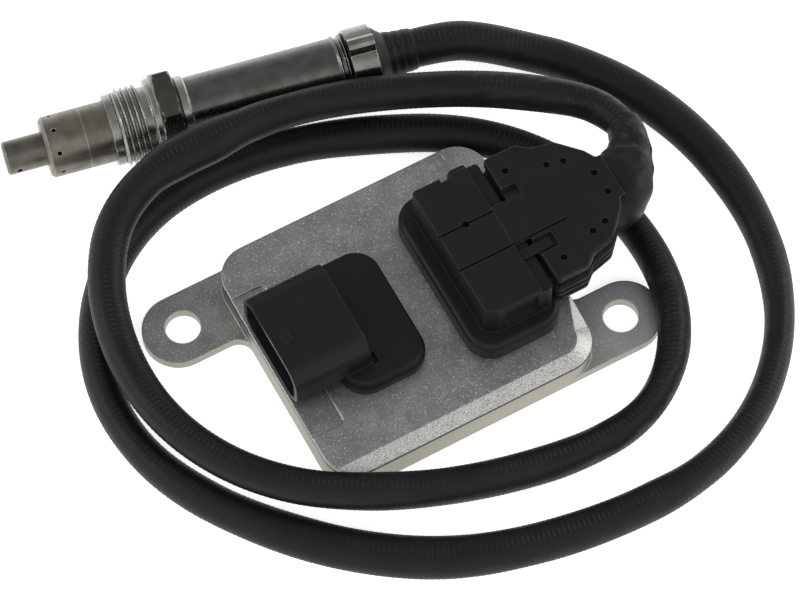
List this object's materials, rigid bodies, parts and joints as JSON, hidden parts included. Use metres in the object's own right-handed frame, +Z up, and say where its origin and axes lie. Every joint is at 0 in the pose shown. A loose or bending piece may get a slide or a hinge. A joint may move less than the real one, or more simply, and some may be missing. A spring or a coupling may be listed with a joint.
{
  "type": "nitrogen oxide sensor",
  "caption": "Exhaust gas sensor: a flat metal control box with two ears, an open socket and a moulded plug, joined by a looped sleeved cable to a screw-in steel probe.",
  "frame": {"origin": "centre of the control box's flat underside", "axes": "+Z up away from the underside, +X towards the sensor plug along the box's longer side, +Y towards the probe"},
  "size_m": [0.1766, 0.1684, 0.0282],
  "materials": {
    "cast_aluminium": "tumbled",
    "cover_aluminium": "rolled",
    "black_plastic": "moulded",
    "plug_plastic": "moulded",
    "cable_rubber": "ribbed",
    "boot_rubber": "moulded",
    "seal_rubber": "moulded",
    "zinc_steel": "plated",
    "tube_steel": "drawn",
    "body_steel": "turned",
    "nut_steel": "turned",
    "sleeve_steel": "satin",
    "band_steel": "bright",
    "tinned_pins": "tinned",
    "board_green": "laminate",
    "chip_black": "moulded",
    "capacitor_tan": "moulded",
    "ceramic_white": "fired",
    "talc_grey": "pressed powder",
    "wire_jacket": "extruded"
  },
  "bodies": {
    "sensor": {"ecu_housing": "cast_aluminium", "base_plate": "cover_aluminium", "housing_seal": "seal_rubber", "cover_screws": "zinc_steel", "circuit_board": "board_green", "board_screws": "zinc_steel", "processor_chip": "chip_black", "power_chips": "chip_black", "capacitors": "capacitor_tan", "vehicle_connector": "black_plastic", "connector_pins": "tinned_pins", "connector_seal": "seal_rubber", "sensor_header": "black_plastic", "header_seal": "seal_rubber", "header_pins": "tinned_pins", "plug_body": "plug_plastic", "plug_cover": "black_plastic", "plug_seal": "seal_rubber", "plug_terminals": "tinned_pins", "plug_wires": "wire_jacket", "wire_seal": "seal_rubber", "cable_sleeve": "cable_rubber", "tip_tube": "tube_steel", "outer_tube": "tube_steel", "probe_body": "body_steel", "rear_collar": "body_steel", "rear_sleeve": "sleeve_steel", "cable_grommet": "boot_rubber", "clamp_band": "band_steel", "sensing_element": "ceramic_white", "front_insulator": "ceramic_white", "talc_packing": "talc_grey", "rear_insulator": "ceramic_white", "contact_holder": "ceramic_white", "contact_springs": "tinned_pins", "lead_wires": "wire_jacket"},
    "nut": {"union_nut": "nut_steel"}
  },
  "joints": [
    {"name": "nut_spin", "type": "hinge", "parent": "sensor", "child": "nut", "pos_m": [-0.03687, 0.0782, 0.011], "axis": [0.9801, -0.1987, 0], "continuous": true}
  ]
}
